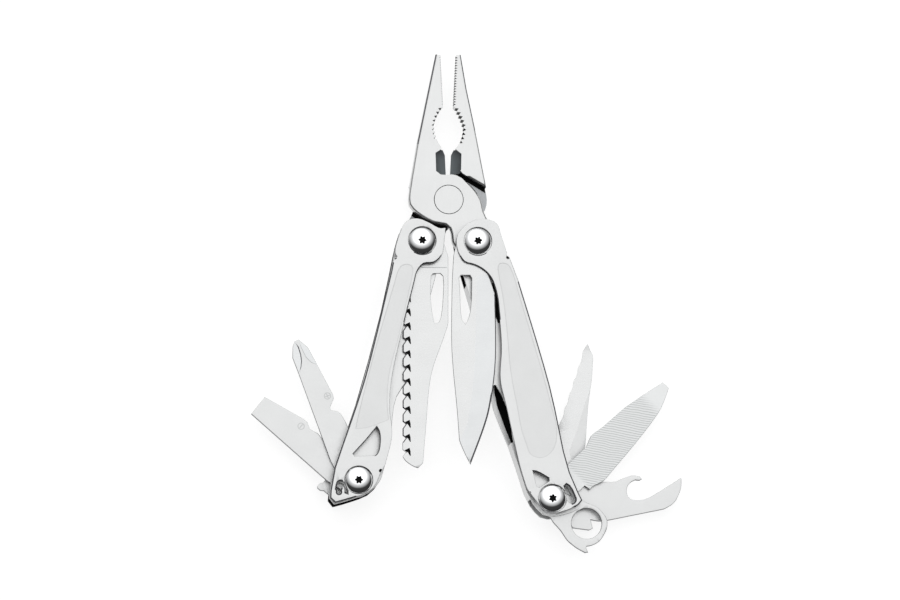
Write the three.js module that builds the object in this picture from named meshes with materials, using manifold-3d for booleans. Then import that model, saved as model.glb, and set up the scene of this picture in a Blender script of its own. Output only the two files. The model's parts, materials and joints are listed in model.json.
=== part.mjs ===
// Folding multi tool: a pliers head on two splayed handles, with its blades and small tools fanned out.
// It lies on its back, front face up (+Z), with the jaws pointing along +Y. Millimetres and degrees.
// Every drawing below is in the piece's own frame: the jaws about the rivet, a handle and its long
// blade about the handle's top screw, and a small tool about the handle's bottom screw.

import * as THREE from 'three';
import { mergeVertices } from 'three/addons/utils/BufferGeometryUtils.js';
import Module from 'manifold-3d';

const wasm = await Module();
wasm.setup();

// ---------- Driving dimensions ----------

const JAW_OPENING = 2.6; // each jaw's turn away from the middle line
const TANG_SCREW = { x: 8.15, y: -14.5 }; // handle screw in a jaw's frame, on the jaw's own tang
const RIGHT = { name: 'right', side: 1, length: 84.6, splay: 16.05 };
const LEFT = { name: 'left', side: -1, length: 78.6, splay: -14.6 };

// Heights above the surface that the tool lies on: [bottom, top].
const NUT_HEAD = [0, 0.95];
const BACK_WALL = [1, 2.1];
const FRONT_WALL = [9.9, 11];
const FRONT_PLATE = [13.9, 15];
const JAW = [2.5, 9.5];
const SAW = [11.1, 12.3];
const KNIFE = [12.4, 13.8];
const SLOT_SPACER = [11.05, 13.85];

const HALF_LAP_GAP = 0.1;
const HALF_LAP = (JAW[0] + JAW[1]) / 2;
const JAW_TIP = [4.75, 7.25];
const TAPER_START = 8;
const JAW_LENGTH = 47.5;
const EYE_RADIUS = 6.2;
const RUNNING_FIT = 0.1;
const CHANNEL_WALL = 1.1;

const RIVET = { pin: 2.6, head: 4.65, headDepth: 0.6 };
const SCREW = { head: 4.05, shank: 1.5, seat: 4.45, seatDepth: 0.5, dome: 0.9 };
const TOP_BARREL = 2.6;
const BOTTOM_BARREL = 2;
const TOOL_ROOT = 4.3;

// ---------- Materials ----------

const STEEL = { color: 0xb9bcbf, roughness: 0.34, metalness: 1 };
const PLATE_STEEL = { color: 0xa9acb0, roughness: 0.3, metalness: 1 };
const BLADE_STEEL = { color: 0xc6c8ca, roughness: 0.22, metalness: 1 };
const SCREW_STEEL = { color: 0xd2d3d4, roughness: 0.16, metalness: 1 };
const SPRING_STEEL = { color: 0x8b8d90, roughness: 0.4, metalness: 1 };

// ---------- Drawing helpers ----------

const radians = THREE.MathUtils.degToRad;

// A smooth curve through points, as a list of [x, y].
function smooth(points, steps) {
  const curve = new THREE.SplineCurve(points.map(([x, y]) => new THREE.Vector2(x, y)));
  return curve.getSpacedPoints(steps).map((point) => [point.x, point.y]);
}

// An arc about (x, y), from one direction to another in degrees, as a list of [x, y].
function arc(x, y, radius, from, to, steps) {
  const points = [];
  for (let i = 0; i <= steps; i += 1) {
    const angle = radians(from + ((to - from) * i) / steps);
    points.push([x + radius * Math.cos(angle), y + radius * Math.sin(angle)]);
  }
  return points;
}

function mirrored(points) {
  return points.map(([x, y]) => [-x, y]);
}

// ---------- Solids ----------

// A closed geometry as a solid that can be joined and cut.
function solid(geometry) {
  geometry.deleteAttribute('normal');
  geometry.deleteAttribute('uv');
  const merged = mergeVertices(geometry, 1e-4);
  return new wasm.Manifold(new wasm.Mesh({
    numProp: 3,
    vertProperties: new Float32Array(merged.attributes.position.array),
    triVerts: new Uint32Array(merged.index.array),
  }));
}

// A flat piece of the given outline, from the bottom height to the top height.
function slab(outline, [bottom, top]) {
  const shape = new THREE.Shape(outline.map(([x, y]) => new THREE.Vector2(x, y)));
  const geometry = new THREE.ExtrudeGeometry(shape, { depth: top - bottom, bevelEnabled: false });
  geometry.translate(0, 0, bottom);
  return solid(geometry);
}

// An upright cylinder about (x, y).
function post(x, y, radius, [bottom, top], sides = 24) {
  const geometry = new THREE.CylinderGeometry(radius, radius, top - bottom, sides);
  geometry.rotateX(Math.PI / 2);
  geometry.translate(x, y, (bottom + top) / 2);
  return solid(geometry);
}

// A piece turned about an upright axis, from a profile of [radius, height].
function turned(profile, sides = 24) {
  const points = profile.map(([radius, height]) => new THREE.Vector2(radius, height));
  const geometry = new THREE.LatheGeometry(points, sides);
  geometry.rotateX(Math.PI / 2);
  return solid(geometry);
}

// A prism along X from its outline in [y, z].
function sideSlab(outline, halfWidth) {
  const shape = new THREE.Shape(outline.map(([y, z]) => new THREE.Vector2(y, z)));
  const geometry = new THREE.ExtrudeGeometry(shape, { depth: 2 * halfWidth, bevelEnabled: false });
  geometry.translate(0, 0, -halfWidth);
  geometry.applyMatrix4(new THREE.Matrix4().set(0, 0, 1, 0, 1, 0, 0, 0, 0, 1, 0, 0, 0, 0, 0, 1));
  return solid(geometry);
}

// A prism along Y from its outline in [x, z].
function endSlab(outline, [start, end]) {
  const shape = new THREE.Shape(outline.map(([x, z]) => new THREE.Vector2(x, z)));
  const geometry = new THREE.ExtrudeGeometry(shape, { depth: end - start, bevelEnabled: false });
  geometry.rotateX(Math.PI / 2);
  geometry.translate(0, end, 0);
  return solid(geometry);
}

function grown([bottom, top], by = 1) {
  return [bottom - by, top + by];
}

// ---------- Scene helpers ----------

function meshOf(name, piece, finish) {
  const { numProp, vertProperties, triVerts } = piece.getMesh();
  const geometry = new THREE.BufferGeometry();
  geometry.setAttribute('position', new THREE.BufferAttribute(new Float32Array(vertProperties), numProp));
  geometry.setIndex(new THREE.BufferAttribute(new Uint32Array(triVerts), 1));
  geometry.computeVertexNormals();
  const mesh = new THREE.Mesh(geometry, new THREE.MeshStandardMaterial(finish));
  mesh.name = name;
  return mesh;
}

// A group set on its parent at (x, y) and turned by an angle about the upright axis.
function joined(parent, x, y, angle) {
  const group = new THREE.Group();
  group.position.set(x, y, 0);
  group.rotation.z = radians(angle);
  parent.add(group);
  return group;
}

// ---------- Pliers head ----------

// The front jaw is on the left of the tips, and its tang runs down to the right handle's screw.
function frontJawOutline() {
  const screw = TANG_SCREW;
  return [
    [-1.9, JAW_LENGTH - 0.1], [-0.3, JAW_LENGTH - 0.4],
    [-0.3, 30.4],
    ...smooth([[-0.9, 29.8], [-3, 26.1], [-3.5, 23], [-2.8, 19.3], [-1.6, 17.1]], 8),
    [-1.6, 16.4], [-3.5, 15.2], [-3.6, 9.3], [-2.2, 8.1],
    ...smooth([[-0.4, 7.9], [2.5, 7.8], [6.8, 4.8], [10.1, 0.1], [11, -4.2], [12.9, -8.6]], 14),
    ...arc(screw.x, screw.y, EYE_RADIUS + 0.2, 35, -160, 12),
    [0.6, -13.6], [0.4, -10.7],
    ...smooth([[0, -9.3], [-1.4, -8], [-5.9, -6.9], [-11.1, -3.2], [-12.7, 0], [-11.7, 6.5]], 12),
    [-9.2, 18.3], [-6, 31],
  ];
}

// The rear jaw is on the right of the tips, and its tang runs down to the left handle's screw.
function rearJawOutline() {
  const screw = TANG_SCREW;
  return [
    [1.9, JAW_LENGTH - 0.1], [0.3, JAW_LENGTH - 0.4],
    [0.3, 30.4],
    ...smooth([[0.9, 29.8], [3.4, 25], [3.8, 22.5], [2.8, 18.6], [1.7, 17]], 8),
    [1.5, 16.4], [3.4, 15], [3.5, 9.8], [2.2, 8.1],
    ...smooth([[0.4, 7.9], [-2.5, 7.8], [-6.8, 4.8], [-10.1, 0.1], [-11, -4.2], [-12.9, -8.6]], 14),
    ...arc(-screw.x, screw.y, EYE_RADIUS + 0.2, 145, 340, 12),
    [-0.6, -13.6], [-0.4, -10.7],
    ...smooth([[0, -9.3], [1.4, -8], [5.9, -6.9], [11.2, -3.2], [12.4, 0.3], [11.7, 4.8]], 12),
    [9.8, 13.1], [7.5, 23.1], [4.2, 36.3],
  ];
}

// The region above the shoulder that the other jaw's half of the lap joint turns against.
const FRONT_SHOULDER = [
  [-14, 3.6], [-11.7, 4.8], [-4, 8.7], [-3.4, 9.4], [2, 9.4], [2, 60], [-20, 60],
];

// The wire cutter on the inner side of the front jaw: a wedge with its edge at half the thickness.
const CUTTER_SECTION = [[-4, JAW[0]], [-0.3, 5.9], [-0.3, 6.1], [-4, JAW[1]]];
const CUTTER_OUTLINE = [
  [-1.6, 16.4], [-3.6, 15.3], [-3.7, 9.2], [-2.2, 8.1], [-0.3, 7.95], [-0.3, 14.8], [-1, 16.4],
];
const CUTTER_LENGTH = [8.6, 16.6];

function wireCutter() {
  return endSlab(CUTTER_SECTION, CUTTER_LENGTH).intersect(slab(CUTTER_OUTLINE, grown(JAW)));
}

// Cuts a jaw to its side view: full thickness at the joint, tapering to the tip.
function jawSideView() {
  const end = JAW_LENGTH + 0.1;
  return sideSlab([
    [-40, JAW[0]], [TAPER_START, JAW[0]], [end, JAW_TIP[0]],
    [end, JAW_TIP[1]], [TAPER_START, JAW[1]], [-40, JAW[1]],
  ], 30);
}

// A jaw keeps its own half of the lap joint everywhere, and the other half above its shoulder
// and around its handle screw.
function jaw(outline, shoulder, cutter, screwX, ownHalf, otherHalf, headRecess) {
  const own = slab(outline, ownHalf);
  const proper = slab(outline, otherHalf).intersect(slab(shoulder, grown(JAW)));
  const eye = post(screwX, TANG_SCREW.y, EYE_RADIUS, otherHalf);
  return own
    .add(proper)
    .add(cutter)
    .add(eye)
    .intersect(jawSideView())
    .subtract(post(0, 0, RIVET.pin + RUNNING_FIT, grown(JAW)))
    .subtract(post(0, 0, RIVET.head + RUNNING_FIT, headRecess, 32))
    .subtract(post(screwX, TANG_SCREW.y, TOP_BARREL + RUNNING_FIT, grown(JAW)));
}

function frontJaw() {
  const split = HALF_LAP + HALF_LAP_GAP / 2;
  const recess = [JAW[1] - RIVET.headDepth, JAW[1] + 1];
  return jaw(
    frontJawOutline(), FRONT_SHOULDER, wireCutter(), TANG_SCREW.x,
    [split, JAW[1]], [JAW[0], split], recess,
  );
}

function rearJaw() {
  const split = HALF_LAP - HALF_LAP_GAP / 2;
  const recess = [JAW[0] - 1, JAW[0] + RIVET.headDepth];
  return jaw(
    rearJawOutline(), mirrored(FRONT_SHOULDER), wireCutter().mirror([1, 0, 0]), -TANG_SCREW.x,
    [JAW[0], split], [split, JAW[1]], recess,
  );
}

// A pin with a flush head peened at each end.
function pliersRivet() {
  const [bottom, top] = JAW;
  const seat = RIVET.headDepth - 0.05;
  return turned([
    [0, bottom], [RIVET.head, bottom], [RIVET.head, bottom + seat], [RIVET.pin, bottom + seat],
    [RIVET.pin, top - seat], [RIVET.head, top - seat], [RIVET.head, top], [0, top],
  ], 32);
}

// ---------- Handles ----------

// The folded channel: the open side faces outwards and the web closes the inner side.
const CHANNEL_OUTLINE = {
  right: [
    ...smooth([[-6.4, 2.3], [-3.3, 5.6], [1.8, 6.5], [5.6, 5.6], [7.6, 2.7], [8, -4.6], [8.9, -15.8]], 16),
    [9.2, -37.3], [9, -53.2], [7.6, -71.2], [7.3, -75.6], [8.4, -85.1],
    ...smooth([[8.9, -87.6], [7.3, -89.7], [0.4, -90], [-3.8, -88.4], [-6, -84]], 8),
    [-6.8, -79.7], [-7, -71.7],
    ...smooth([[-7.4, -64.3], [-8.2, -57], [-8.7, -50.5], [-8.1, -46.5], [-6.9, -42]], 7),
    [-6.9, -12], [-6.9, -2],
  ],
  left: [
    ...smooth([[7.1, -3], [6.5, 3.8], [2.5, 6], [-2.1, 6.4], [-6.7, 4.1], [-7.5, -1.7], [-7, -11.9]], 16),
    [-6.5, -23.4], [-6.4, -39.3], [-6.7, -54], [-8.3, -77.2],
    ...smooth([[-8.2, -80.3], [-7.7, -84], [-7.2, -86.4], [-6, -87.6], [-3.1, -86.2], [4.3, -81],
      [6.8, -76]], 9),
    [6.9, -70],
    ...smooth([[6.6, -62.6], [5.2, -55.5], [4.9, -49.5], [7.1, -43]], 6),
    [7.1, -12],
  ],
};

// The cavity between the walls, with straight inner sides where the web stands.
const CAVITY_OUTLINE = {
  right: [
    [-30, 20], [-30, -12], [-5.8, -12], [-5.8, -42.6], [-6.9, -46.4], [-7.3, -50.5], [-6.9, -57],
    [-6.2, -64], [-5.9, -72], [-5.7, -82.5], [-30, -82.5], [-30, -110], [30, -110], [30, 20],
  ],
  left: [
    [30, 20], [30, -12], [6, -12], [6, -43.4], [3.8, -49.5], [4.1, -55], [5.6, -63],
    [5.8, -70], [5.7, -77.5], [30, -77.5], [30, -110], [-30, -110], [-30, 20],
  ],
};

const WEB_WINDOW = { from: -45, to: -64, keep: 1.3 };

// The right handle's front wall is cut back here to the edge of its plate.
const FRONT_WAIST = [
  [-14, -45], [-6.7, -45], [-5.8, -48.6], [-5.4, -52.5], [-5.6, -58], [-6.4, -64], [-14, -64],
];

// The front plate: full length, cut back on its inner side so that the thumb reaches the blade's hole.
const PLATE_OUTLINE = {
  right: [
    ...smooth([[-6.7, 1.3], [-5.2, 4.1], [-1, 6.4], [3.7, 6.3], [7.2, 4.1], [7.6, 0.3]], 14),
    [7.8, -5.8], [7.5, -6.7], [8.2, -7.6],
    ...smooth([[8.9, -15.8], [9.2, -37.3], [9, -53.2], [7.6, -71.2], [7.3, -75.6], [8.4, -85.1]], 10),
    ...smooth([[8.9, -87.6], [7.3, -88.8], [0.4, -89.4], [-3.2, -88], [-5.4, -83.4]], 8),
    [-6.3, -81.2],
    ...smooth([[-6.8, -79.7], [-7, -71.7], [-5.9, -53], [-5.3, -43.9], [-2, -33.9], [0.6, -21],
      [1.1, -16.5], [0.5, -11.5], [-2.3, -7.6], [-5.8, -5.4], [-6.9, -1.9]], 24),
  ],
  left: [
    ...smooth([[7.1, -0.6], [6.5, 3.1], [6.1, 5.8], [4.1, 5.2], [0.3, 6.1], [-3.5, 6.3], [-6.7, 4.1],
      [-7.5, -1.7]], 16),
    [-7.1, -6.3], [-6.3, -7.1], [-7, -7.9],
    ...smooth([[-7, -11.9], [-6.4, -39.3], [-6.7, -54], [-8.3, -77.2], [-7.7, -84]], 10),
    ...smooth([[-7.2, -86.4], [-6, -87.6], [-3.1, -86.2], [4.3, -81], [6, -75]], 8),
    ...smooth([[6.7, -72.5], [6.5, -62.4], [3.3, -53.2], [1.5, -40.9], [1, -16.1], [1.4, -8.1],
      [5.2, -5.9], [7.1, -3]], 22),
  ],
};

// Cuts in the front plate near the bottom screw: the lightening window and the lanyard slot.
const PLATE_WINDOW = {
  right: [[-3.6, -74.6], [-2.6, -75], [0.7, -78.2], [0.6, -79.1], [-3.1, -80.3], [-3.8, -79.6]],
  left: [
    [1.2, -61], [2.3, -62.2], [3.4, -65.4], [3.5, -69], [2.8, -69.9], [-3.2, -71.8], [-3.8, -71.2],
    [-1, -65.8],
  ],
};
const LANYARD_SLOT = {
  right: [[4.5, -81.9], [5.4, -81.5], [6.1, -82.3], [6.8, -85.6], ...arc(5.6, -86.5, 1.3, 20, -200, 12)],
  left: [
    [-2.3, -83.5], [-3.2, -83.4], [-4, -81.9], [-4.6, -81.9], [-4.6, -83],
    ...arc(-5, -83.9, 0.6, 60, -210, 8),
    [-6.1, -83.2], ...arc(-5.1, -81.4, 1.1, 170, 70, 6), [-3.6, -80.6], [-2.4, -82.2],
  ],
};
const SPACER_OUTLINE = {
  right: [[-4.6, -81.5], [3.6, -81.2], [3.9, -88.6], [0.2, -88.9], [-3.4, -87.3]],
  left: [[-3.6, -75.6], [4.6, -75.6], [4.2, -80.2], [0.6, -82.6], [-2.2, -82.8], [-3.9, -80.2]],
};

function channel(handle) {
  const { name, length, side } = handle;
  const walls = [BACK_WALL[0], FRONT_WALL[1]];
  const cavity = [BACK_WALL[1], FRONT_WALL[0]];
  const webX = -side * 8;
  const windowHeight = [BACK_WALL[1] + WEB_WINDOW.keep, FRONT_WALL[0]];
  const window = slab([
    [webX - 5, WEB_WINDOW.from], [webX + 5, WEB_WINDOW.from],
    [webX + 5, WEB_WINDOW.to], [webX - 5, WEB_WINDOW.to],
  ], windowHeight);
  const whole = slab(CHANNEL_OUTLINE[name], walls)
    .subtract(slab(CAVITY_OUTLINE[name], cavity))
    .subtract(window);
  const waisted = name === 'right'
    ? whole.subtract(slab(FRONT_WAIST, [FRONT_WALL[0] - 0.1, FRONT_WALL[1] + 1]))
    : whole;
  return waisted
    .subtract(slab(LANYARD_SLOT[name], grown(walls)))
    .subtract(post(0, 0, TOP_BARREL + RUNNING_FIT, grown(walls)))
    .subtract(post(0, -length, BOTTOM_BARREL + RUNNING_FIT, grown(walls)));
}

function frontPlate({ name, length }) {
  const through = grown(FRONT_PLATE);
  const seat = [FRONT_PLATE[1] - SCREW.seatDepth, FRONT_PLATE[1] + 1];
  return slab(PLATE_OUTLINE[name], FRONT_PLATE)
    .subtract(slab(PLATE_WINDOW[name], through))
    .subtract(slab(LANYARD_SLOT[name], through))
    .subtract(post(0, 0, SCREW.shank + RUNNING_FIT, through))
    .subtract(post(0, 0, SCREW.seat, seat))
    .subtract(post(0, -length, SCREW.shank + RUNNING_FIT, through))
    .subtract(post(0, -length, SCREW.seat, seat));
}

// A domed screw from the front, with a six-lobe socket, and the bored barrel nut from the back.
const SCREW_BOTTOM = 6;
const HEAD_BOTTOM = FRONT_PLATE[1] - SCREW.seatDepth + 0.05;

function sixLobeSocket([bottom, top]) {
  const lobes = [];
  for (let i = 0; i < 24; i += 1) {
    const angle = radians(i * 15);
    const radius = 1.25 + 0.2 * Math.cos(6 * angle);
    lobes.push([radius * Math.cos(angle), radius * Math.sin(angle)]);
  }
  return slab(lobes, [bottom, top]);
}

function domedScrew() {
  const rim = HEAD_BOTTOM + 0.45;
  const dome = [0, 30, 60].map((angle) => [
    SCREW.head * Math.cos(radians(angle)), rim + SCREW.dome * Math.sin(radians(angle)),
  ]);
  return turned([
    [0, SCREW_BOTTOM], [SCREW.shank, SCREW_BOTTOM], [SCREW.shank, HEAD_BOTTOM],
    [SCREW.head, HEAD_BOTTOM], ...dome, [0, rim + SCREW.dome],
  ]).subtract(sixLobeSocket([HEAD_BOTTOM + 0.35, 20]));
}

function barrelNut(radius) {
  const [bottom, top] = NUT_HEAD;
  const barrelTop = FRONT_PLATE[0] - 0.05;
  return turned([
    [0, bottom], [SCREW.head - 0.4, bottom], [SCREW.head, bottom + 0.4], [SCREW.head, top],
    [radius, top], [radius, barrelTop], [SCREW.shank + RUNNING_FIT, barrelTop],
    [SCREW.shank + RUNNING_FIT, SCREW_BOTTOM - 0.5], [0, SCREW_BOTTOM - 0.5],
  ]);
}

function washer(boreRadius, outerRadius, height) {
  return post(0, 0, outerRadius, height).subtract(post(0, 0, boreRadius + RUNNING_FIT, grown(height)));
}

// The thin washers either side of the tang lie between it and the channel walls.
const TANG_WASHER = {
  back: [BACK_WALL[1] + 0.05, JAW[0] - 0.05],
  front: [JAW[1] + 0.05, FRONT_WALL[0] - 0.05],
};

// A comb of leaf springs fixed inside the web, with one finger for each tool.
function toolSpring({ side }, fingers, top, bottom) {
  const x = -side * 5.3;
  const thick = 0.5;
  const height = [BACK_WALL[1] + 0.25, FRONT_WALL[0] - 0.25];
  const bent = side * 0.35;
  let spring = slab([
    [x - thick / 2, top], [x + thick / 2, top], [x + thick / 2 + bent, bottom],
    [x - thick / 2 + bent, bottom],
  ], height);
  fingers.forEach((gap) => {
    spring = spring.subtract(slab([
      [x - 3, top - 4], [x + 3, top - 4], [x + 3, bottom - 1], [x - 3, bottom - 1],
    ], [gap - 0.15, gap + 0.15]));
  });
  return spring;
}

function slotSpacer({ name, length }) {
  return slab(SPACER_OUTLINE[name], SLOT_SPACER)
    .subtract(post(0, -length, BOTTOM_BARREL + RUNNING_FIT, grown(SLOT_SPACER)));
}

// ---------- Long blades ----------

function knifeBlade() {
  const outline = [
    ...smooth([[-7.6, -4.6], [-5.4, 2.6], [0, 5], [4.6, 2.4], [5.2, -5], [3.4, -10.7]], 14),
    ...smooth([[5.5, -16.6], [5.8, -28], [5.6, -39.5], [4.1, -51.3], [2.1, -59], [-2.3, -70.8]], 16),
    [-4.3, -66.7], [-5.8, -62.8],
    ...smooth([[-6.2, -57], [-6.8, -50], [-7.6, -42], [-8.2, -32.9], [-8.2, -22], [-8, -12]], 10),
  ];
  const thumbHole = [
    [-5.3, -10.7], [-2.4, -10.7], [-1.8, -11.6],
    ...smooth([[-1.9, -18.2], [-2.5, -23.1], [-4, -26.4], [-5.2, -23.6], [-5.6, -16.1], [-5.9, -11.6]], 14),
  ];
  return slab(outline, KNIFE)
    .subtract(slab(thumbHole, grown(KNIFE)))
    .subtract(post(0, 0, TOP_BARREL + RUNNING_FIT, grown(KNIFE)));
}

const SAW_TEETH = { count: 12, first: -18.2, pitch: 4.42, root: -4.9, tip: -5.9 };

function sawBlade() {
  const { count, first, pitch, root, tip } = SAW_TEETH;
  const teeth = [];
  for (let i = 0; i < count; i += 1) {
    const y = first - i * pitch;
    teeth.push([tip, y + 0.8], [root, y], [tip, y - 1.4]);
  }
  const outline = [
    ...smooth([[-4.4, -12], [-5.3, -6], [-4.9, 2], [0, 5], [5.6, 2.6], [8.4, -5]], 14),
    ...smooth([[8.4, -25.9], [6.9, -30.8], [2.9, -43.1], [1.4, -59.1], [0.5, -70.2]], 12),
    [-1, -71.8], [-2.2, -71.4], [-4.9, -69.6],
    ...teeth.reverse(),
    [-5.4, -15.5],
  ];
  const thumbHole = [
    [3, -10.9], [3.6, -10.1], [5.9, -10], [6.8, -10.9],
    ...smooth([[7, -13.9], [6.6, -20.6], [5.9, -24.7], [4.9, -26.2], [4, -25.7], [3.2, -21.6],
      [2.8, -16.6], [2.9, -12.5]], 16),
  ];
  return slab(outline, SAW)
    .subtract(slab(thumbHole, grown(SAW)))
    .subtract(post(0, 0, TOP_BARREL + RUNNING_FIT, grown(SAW)));
}

// ---------- Small tools ----------

// A tool's outline runs up its left side, over the tip, down its right side and round its root.
function smallTool(sides, height) {
  const outline = [...sides, ...arc(0, 0, TOOL_ROOT, -10, -170, 10)];
  return slab(outline, height).subtract(post(0, 0, BOTTOM_BARREL + RUNNING_FIT, grown(height)));
}

function phillipsDriver(height) {
  return smallTool([
    [-4.7, 4], [-5.2, 9.5], [-3.6, 38.7], [-3.4, 44.1], [-1.9, 47.4], [-0.8, 48.6], [0.6, 48.6],
    [2.3, 45.2], [2.9, 38.6], [3.7, 28.3], [3.4, 27.1], [1.2, 24.9], [1.2, 24], [3.1, 22.8],
    [3.6, 21.7], [4, 18.5], [4.4, 4],
  ], height);
}

function flatDriver(height) {
  return smallTool([
    [-4.9, 3], [-5.4, 8], [-3.4, 39.5], [3.4, 39.5], [5.4, 25.6], [5.3, 23.9], [4.1, 22.1],
    [4.6, 19.2], [4.2, 17.4], [4.4, 4],
  ], height);
}

function smallDriver(height) {
  return smallTool([
    [-4, 4], [-3.2, 8.6], [-1.9, 9.9], [-1.3, 10.5], [-1.1, 11.6], [-0.3, 12.4], [0.3, 12.4],
    [1.1, 11.6], [1.3, 10.5], [1.9, 9.9], [3.2, 8.6], [4, 4],
  ], height);
}

function serratedBlade(height) {
  const scallops = [];
  for (let i = 0; i < 5; i += 1) {
    const y = 26 + i * 4.6;
    const edge = -2.5 + 0.35 * i;
    scallops.push([edge, y], [edge + 0.35, y + 1], [edge + 0.48, y + 2.3], [edge + 0.35, y + 3.6]);
  }
  return smallTool([
    [-4.1, 5], [-3.3, 14], [-2.9, 22], ...scallops, [-0.9, 49], [-0.5, 51], [0, 52.3], [1, 50.6],
    ...smooth([[2.4, 49], [3.8, 42.1], [4.7, 33.6], [6.7, 21.5], [6.9, 19.6]], 8),
    [6.4, 17], [4.5, 5],
  ], height);
}

function metalFile(height) {
  return smallTool([
    [-4.2, 4], [-4.2, 14.1], [-4, 20.1], [-4.9, 22.5], [-5.4, 24], [-4.8, 28.3],
    ...smooth([[-4.2, 37.6], [-2.7, 45.9], [-1.3, 52.2]], 4),
    [1.3, 52.3],
    ...smooth([[2.7, 49.4], [4.6, 43.9], [6, 33.9], [7, 22.9], [7.4, 16]], 8),
    [6.3, 13.1], [6.3, 11.4], [4.3, 11.1], [4.2, 4],
  ], height);
}

function canOpener(height) {
  return smallTool([
    [-4.2, 5], [-4, 17.4],
    ...smooth([[-3.5, 21.6], [-4.7, 26.5], [-4.2, 29.4], [-3.2, 30]], 8),
    ...smooth([[-2.9, 29.2], [-3.2, 27.7], [-1.9, 25.4], [0.6, 24.6], [2.7, 25.8], [3.1, 30.5],
      [0, 38], [-2, 42.3]], 20),
    ...smooth([[-1.8, 42.5], [1.5, 41.8], [5.4, 39.2], [7.1, 35.6]], 8),
    [8.3, 17.5], [8.3, 15.2], [7.4, 12], [10.2, 12.3], [10.6, 11.1], [9.2, 6], [6.2, 4.6], [4.2, 3],
  ], height);
}

function lanyardRing(height) {
  const hole = post(0, 13.4, 4.8, grown(height), 32);
  return smallTool([
    [-4.4, 3], [-5.7, 10.3],
    ...smooth([[-6.2, 14], [-5, 17.6], [-2.7, 19.4], [0, 19.9], [2.8, 19.7], [5.1, 18.3]], 10),
    [6, 17.3], [6.5, 17.4], [7.3, 18.7], [8, 18],
    ...smooth([[8.2, 14.8], [7.8, 11.2], [6.5, 8.1], [5.5, 4.5]], 6),
    [4.4, 2],
  ], height).subtract(hole);
}

// Each tool's drawing, its height in the stack and its turn from straight up when fanned out.
const SMALL_TOOLS = {
  left: [
    ['phillips_driver', phillipsDriver, [8.05, 9.75], 23.4],
    ['flat_driver', flatDriver, [5.6, 7.9], 52.4],
    ['small_driver', smallDriver, [2.35, 4.4], 95.3],
  ],
  right: [
    ['lanyard_ring', lanyardRing, [8.25, 9.7], -123],
    ['metal_file', metalFile, [6.2, 8], -44.8],
    ['can_opener', canOpener, [4.05, 5.95], -82],
    ['serrated_blade', serratedBlade, [2.35, 3.6], -13.9],
  ],
};
const STACK_WASHER = { left: [4.5, 5.5], right: [3.7, 3.95] };
const SPRING_RUN = { left: [-66, -76.5], right: [-67, -81] };
const SPRING_GAPS = { left: [5, 7.98], right: [3.82, 6.08, 8.12] };
const BLADE_WASHER = { left: KNIFE, right: SAW };

// ---------- Assembly ----------

function addHandle(parent, handle) {
  const { name, side, length, splay } = handle;
  const group = joined(parent, side * TANG_SCREW.x, TANG_SCREW.y, splay - side * JAW_OPENING);
  const bottom = joined(group, 0, -length, 0);
  group.add(meshOf(`${name}_channel`, channel(handle), STEEL));
  group.add(meshOf(`${name}_front_plate`, frontPlate(handle), PLATE_STEEL));
  group.add(meshOf(`${name}_slot_spacer`, slotSpacer(handle), STEEL));
  Object.entries(TANG_WASHER).forEach(([face, height]) => {
    group.add(meshOf(`${name}_${face}_tang_washer`, washer(TOP_BARREL, 5, height), SPRING_STEEL));
  });
  group.add(meshOf(`${name}_blade_washer`, washer(TOP_BARREL, 4, BLADE_WASHER[name]), SPRING_STEEL));
  const spring = toolSpring(handle, SPRING_GAPS[name], ...SPRING_RUN[name]);
  group.add(meshOf(`${name}_tool_spring`, spring, SPRING_STEEL));
  group.add(meshOf(`${name}_top_screw`, domedScrew(), SCREW_STEEL));
  group.add(meshOf(`${name}_top_nut`, barrelNut(TOP_BARREL), SCREW_STEEL));
  bottom.add(meshOf(`${name}_bottom_screw`, domedScrew(), SCREW_STEEL));
  bottom.add(meshOf(`${name}_bottom_nut`, barrelNut(BOTTOM_BARREL), SCREW_STEEL));
  bottom.add(meshOf(`${name}_stack_washer`, washer(BOTTOM_BARREL, 3.6, STACK_WASHER[name]), SPRING_STEEL));
  SMALL_TOOLS[name].forEach(([toolName, draw, height, turn]) => {
    const pivot = joined(bottom, 0, 0, turn - splay);
    pivot.add(meshOf(toolName, draw(height), BLADE_STEEL));
  });
  return group;
}

const tool = new THREE.Group();
const frontFrame = joined(tool, 0, 0, JAW_OPENING);
const rearFrame = joined(tool, 0, 0, -JAW_OPENING);
frontFrame.add(meshOf('front_jaw', frontJaw(), STEEL));
frontFrame.add(meshOf('pliers_rivet', pliersRivet(), SCREW_STEEL));
rearFrame.add(meshOf('rear_jaw', rearJaw(), STEEL));

const rightHandle = addHandle(frontFrame, RIGHT);
const leftHandle = addHandle(rearFrame, LEFT);
joined(rightHandle, 0, 0, -RIGHT.splay).add(meshOf('knife_blade', knifeBlade(), BLADE_STEEL));
joined(leftHandle, 0, 0, -LEFT.splay).add(meshOf('saw_blade', sawBlade(), BLADE_STEEL));

// The origin is under the middle of the whole tool's box, on the surface that it lies on.
tool.updateMatrixWorld(true);
const box = new THREE.Box3().setFromObject(tool, true);
tool.position.set(-(box.min.x + box.max.x) / 2, -(box.min.y + box.max.y) / 2, -box.min.z);

export default tool;
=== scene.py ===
# Looks for the folding multi tool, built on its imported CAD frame.
# Drawings are in millimetres in the piece's own frame; Blender's own units are metres.

import json
import math

import bmesh
import bpy
from mathutils import Matrix, Vector
from mathutils.geometry import delaunay_2d_cdt


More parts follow.
